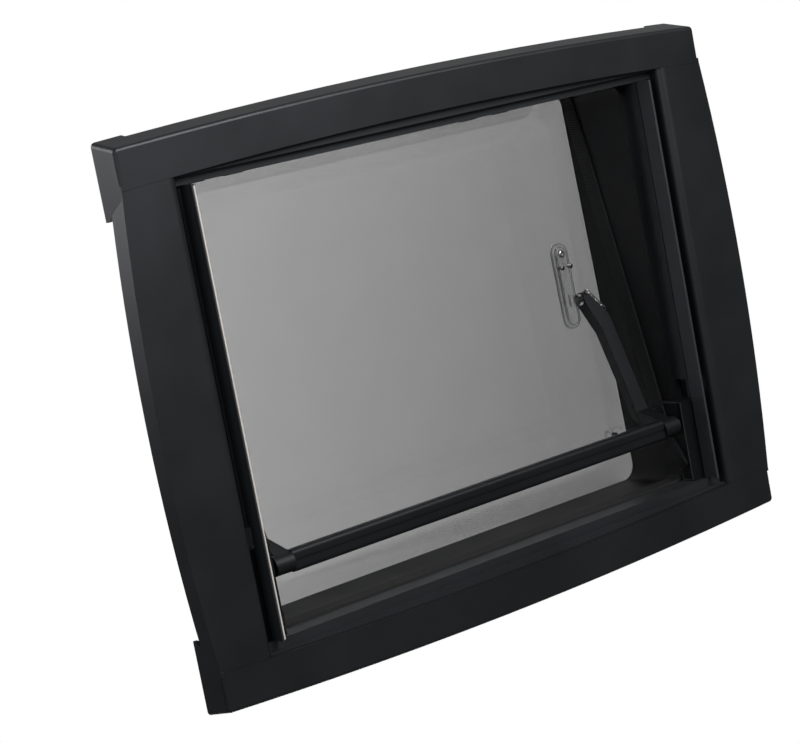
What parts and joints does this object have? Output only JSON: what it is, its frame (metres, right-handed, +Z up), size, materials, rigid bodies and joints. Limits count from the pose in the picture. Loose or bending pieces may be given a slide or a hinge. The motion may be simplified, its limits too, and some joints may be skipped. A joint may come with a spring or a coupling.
{
  "type": "camper roof hatch",
  "caption": "Roof hatch for a camper: bowed interior frame with blind boxes, sloped kerb, hinged smoke dome and a stay bow that props it open.",
  "frame": {"origin": "middle of the roof opening, on the flange face that lies on the roof skin", "axes": "+Z up and out of the vehicle, +Y towards the hinge side, +X along the long side"},
  "size_m": [0.81, 0.6088, 0.1907],
  "materials": {
    "interior_plastic": "satin black, fine grain",
    "guide_plastic": "matte black",
    "pull_bar_plastic": "satin dark grey with a pale edge",
    "outer_plastic": "satin black",
    "gasket_rubber": "matte, ribbed",
    "smoke_dome": "smoke-tinted acrylic",
    "smoke_pane": "smoke-tinted acrylic",
    "clear_plastic": "clear",
    "pin_steel": "plain",
    "spring_steel": "bright wire",
    "hinge_plastic": "satin black",
    "bow_plastic": "satin black"
  },
  "bodies": {
    "frame": {"blind_box": "interior_plastic", "blind_pull_bar": "pull_bar_plastic", "front_bar": "interior_plastic", "front_guide_rail": "guide_plastic", "kerb_gasket": "gasket_rubber", "left_corner_bracket": "outer_plastic", "left_hinge_base": "hinge_plastic", "left_wall_strip": "guide_plastic", "outer_frame": "outer_plastic", "rear_bar": "interior_plastic", "rear_guide_rail": "guide_plastic", "right_corner_bracket": "outer_plastic", "right_hinge_base": "hinge_plastic", "right_wall_strip": "guide_plastic", "screen_box": "interior_plastic", "screen_pull_bar": "pull_bar_plastic"},
    "lid": {"left_arm_plate": "clear_plastic", "left_hinge_pin": "pin_steel", "left_hinge_strap": "hinge_plastic", "left_lid_clip": "clear_plastic", "left_pivot_pin": "pin_steel", "lid_dome": "smoke_dome", "lid_inner_pane": "smoke_pane", "lid_skirt": "outer_plastic", "right_arm_plate": "clear_plastic", "right_hinge_pin": "pin_steel", "right_hinge_strap": "hinge_plastic", "right_lid_clip": "clear_plastic", "right_pivot_pin": "pin_steel"},
    "bow": {"bow_grip": "bow_plastic", "left_bow_arm": "bow_plastic", "left_bow_knob": "bow_plastic", "left_bow_spring": "spring_steel", "right_bow_arm": "bow_plastic", "right_bow_knob": "bow_plastic", "right_bow_spring": "spring_steel"}
  },
  "joints": [
    {"name": "lid_hinge", "type": "hinge", "parent": "frame", "child": "lid", "pos_m": [0, 0.258, 0.09858], "axis": [-1, 0, 0], "range_deg": [0, 40]},
    {"name": "bow_pivot", "type": "hinge", "parent": "lid", "child": "bow", "pos_m": [0, -0.008, 0.07768], "axis": [1, 0, 0], "range_deg": [-1, 101]}
  ],
  "couplings": [
    {"joint": "bow_pivot", "follows": "lid_hinge", "ratio": 2.5}
  ]
}
